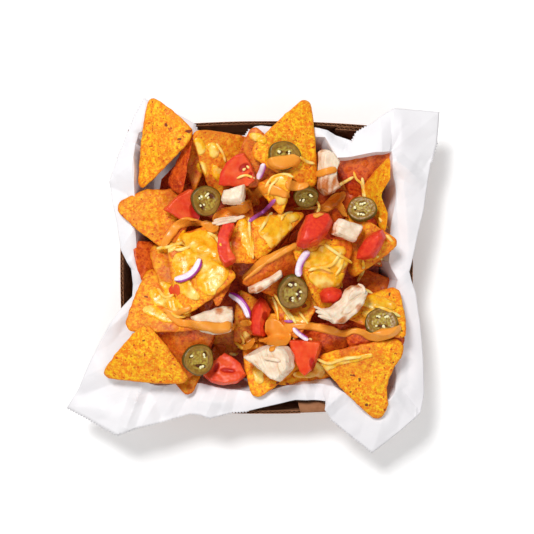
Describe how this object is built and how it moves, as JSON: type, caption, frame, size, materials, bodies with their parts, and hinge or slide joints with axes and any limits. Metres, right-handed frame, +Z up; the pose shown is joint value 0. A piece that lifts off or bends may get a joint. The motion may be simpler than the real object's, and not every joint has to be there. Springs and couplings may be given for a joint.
{
  "type": "loaded nachos in a tray",
  "caption": "Loaded tortilla chips with chicken, tomato, pickled pepper and onion, heaped in a square corrugated board tray lined with greaseproof paper.",
  "frame": {"origin": "middle of the flat underside of the tray, which stands on the table", "axes": "+Z up out of the tray, +Y towards the back wall with the two folded tabs, +X to the right of someone facing the back wall"},
  "size_m": [0.2592, 0.2451, 0.0847],
  "materials": {
    "kraft_board": "uncoated brown corrugated paper board, matt",
    "paper": "white greaseproof paper, smooth with a faint sheen",
    "tortilla_chip": "fried and seasoned maize, dry and matt",
    "tomato": "wet tomato skin and cut flesh, glossy",
    "chicken": "cooked white chicken meat, moist with browned edges",
    "pickled_pepper": "wet pickled green pepper, glossy",
    "onion": "raw red onion, white inside with a violet skin, moist"
  },
  "bodies": {
    "root": {"chicken_block_right": "chicken", "chicken_cube_back": "chicken", "chicken_curved_right": "chicken", "chicken_lump_front": "chicken", "chicken_sliver_middle": "chicken", "chicken_strip_back": "chicken", "chicken_strip_front": "chicken", "chip_back_cheesy": "tortilla_chip", "chip_back_left_steep": "tortilla_chip", "chip_back_lobe": "tortilla_chip", "chip_back_middle": "tortilla_chip", "chip_back_pointing": "tortilla_chip", "chip_back_right_dark": "tortilla_chip", "chip_bed": "tortilla_chip", "chip_corner_back_left": "tortilla_chip", "chip_corner_front_left": "tortilla_chip", "chip_corner_front_right": "tortilla_chip", "chip_curled_end": "tortilla_chip", "chip_front_dark": "tortilla_chip", "chip_front_left_dark": "tortilla_chip", "chip_front_left_low": "tortilla_chip", "chip_front_lower": "tortilla_chip", "chip_front_pointing": "tortilla_chip", "chip_front_right_dark": "tortilla_chip", "chip_left_cheesy": "tortilla_chip", "chip_left_dark": "tortilla_chip", "chip_left_lower": "tortilla_chip", "chip_left_middle": "tortilla_chip", "chip_left_pointing": "tortilla_chip", "chip_left_upper": "tortilla_chip", "chip_middle_cheesy": "tortilla_chip", "chip_middle_front": "tortilla_chip", "chip_middle_left": "tortilla_chip", "chip_middle_left_front": "tortilla_chip", "chip_middle_standing": "tortilla_chip", "chip_right_cheesy": "tortilla_chip", "chip_right_lower": "tortilla_chip", "chip_right_small": "tortilla_chip", "chip_right_steep": "tortilla_chip", "chip_right_tip": "tortilla_chip", "onion_strip_left": "onion", "onion_strip_middle": "onion", "paper_liner": "paper", "pepper_ring_back": "pickled_pepper", "pepper_ring_dark": "pickled_pepper", "pepper_ring_front_left": "pickled_pepper", "pepper_ring_front_right": "pickled_pepper", "pepper_ring_left": "pickled_pepper", "pepper_ring_middle": "pickled_pepper", "pepper_ring_right": "pickled_pepper", "tomato_crescent_front": "tomato", "tomato_crescent_middle": "tomato", "tomato_half_front": "tomato", "tomato_quarter_back": "tomato", "tomato_skin_middle": "tomato", "tomato_skin_right": "tomato", "tomato_under_chicken": "tomato", "tomato_wedge_front": "tomato", "tomato_wedge_left": "tomato", "tray": "kraft_board"}
  },
  "joints": []
}
